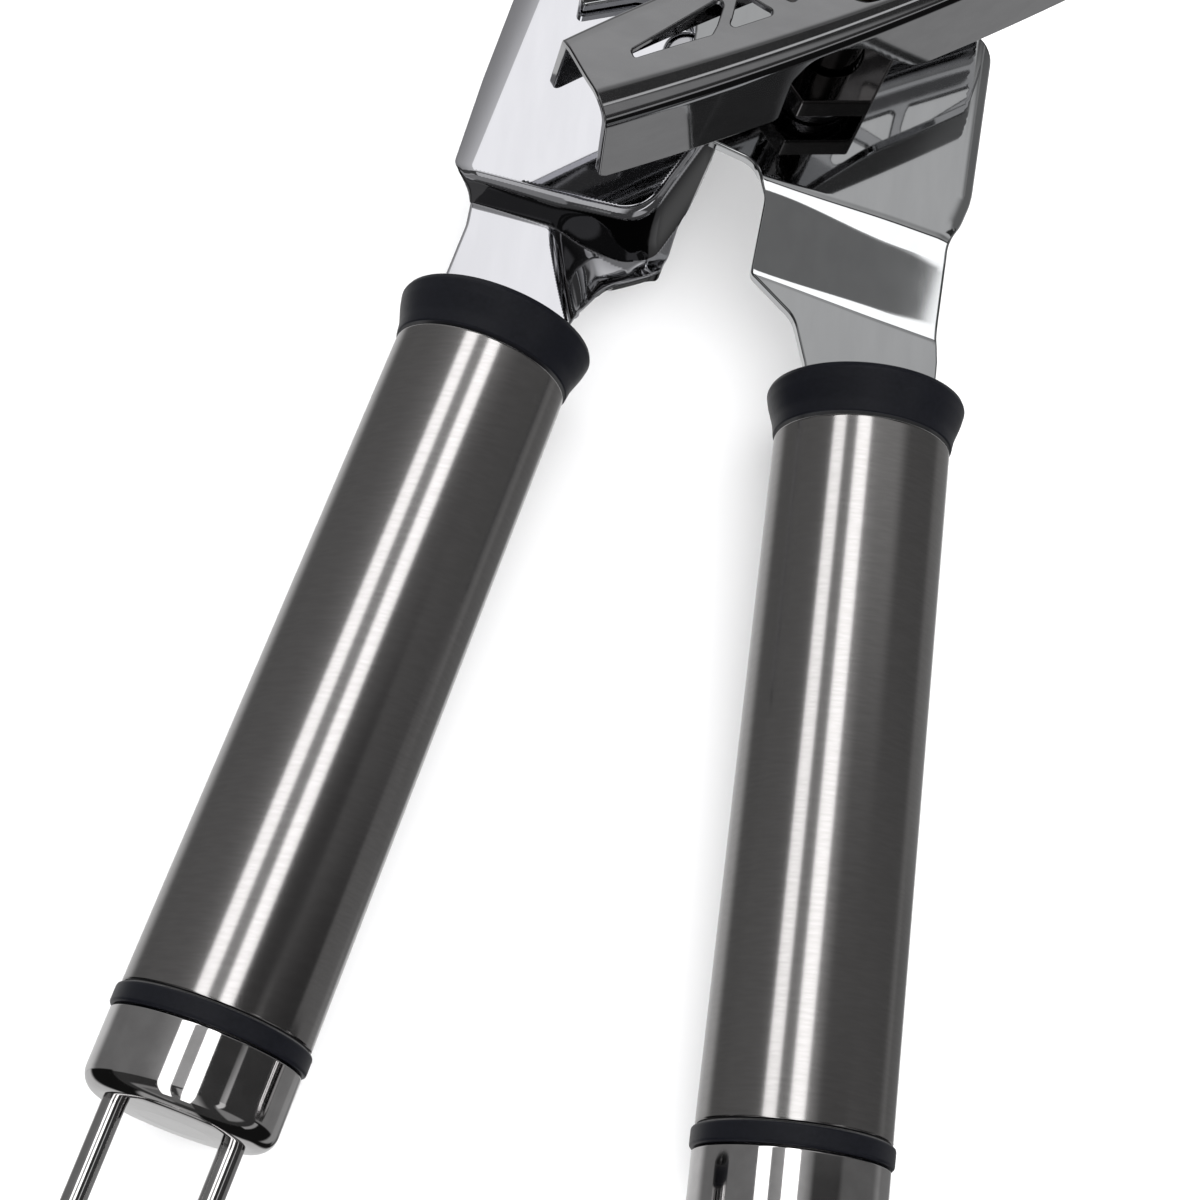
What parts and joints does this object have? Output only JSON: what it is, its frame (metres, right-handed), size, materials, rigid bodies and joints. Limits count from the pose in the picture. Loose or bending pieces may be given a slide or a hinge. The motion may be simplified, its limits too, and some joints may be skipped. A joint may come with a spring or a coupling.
{
  "type": "manual can opener",
  "caption": "Manual can opener with two tubular handles, a pressed shell arm with a cutting wheel, a plate arm with a feed wheel and a folded turning key, and a hanging loop.",
  "frame": {"origin": "bottom centre of the bounding box; the tool lies flat with the key on top", "axes": "+Y along the plate arm's handle towards the head, +Z square to the arms' plates on the key's side, +X towards the plate arm's handle"},
  "size_m": [0.0922, 0.17, 0.0424],
  "materials": {
    "brushed_tube": "satin, dark grey steel",
    "polished_steel": "polished",
    "hard_steel": "machined, semi bright",
    "black_plastic": "satin black"
  },
  "bodies": {
    "plate_side": {"right_arm_plate": "polished_steel", "right_handle_tube": "brushed_tube", "right_collar": "black_plastic", "right_band": "black_plastic", "right_end_cap": "polished_steel", "right_core": "black_plastic", "right_end_plug": "black_plastic", "right_tang_pin": "hard_steel", "pivot_rivet": "polished_steel", "pivot_washer": "hard_steel", "thrust_washer": "hard_steel", "axle_bush": "hard_steel"},
    "shell_side": {"left_arm_shell": "polished_steel", "left_handle_tube": "brushed_tube", "left_collar": "black_plastic", "left_band": "black_plastic", "left_end_cap": "polished_steel", "left_core": "black_plastic", "left_end_plug": "black_plastic", "left_tang_pin": "hard_steel", "hanging_loop": "polished_steel", "cutter_stud": "hard_steel", "cutter_screw": "polished_steel", "cutter_washer": "hard_steel"},
    "key_train": {"turning_key": "polished_steel", "key_axle": "hard_steel", "axle_hex_collar": "polished_steel", "feed_wheel": "hard_steel", "feed_wheel_nut": "hard_steel"},
    "cutter": {"cutting_wheel": "hard_steel"}
  },
  "joints": [
    {"name": "handle_hinge", "type": "hinge", "parent": "plate_side", "child": "shell_side", "pos_m": [-0.00082, 0.07321, 0.0108], "axis": [0, 0, 1], "range_deg": [-32, 9]},
    {"name": "key_turn", "type": "hinge", "parent": "plate_side", "child": "key_train", "pos_m": [0.01598, 0.06141, 0.0108], "axis": [0, 0, 1], "continuous": true},
    {"name": "cutter_spin", "type": "hinge", "parent": "shell_side", "child": "cutter", "pos_m": [0.00173, 0.06186, 0.0108], "axis": [0, 0, 1], "continuous": true}
  ]
}
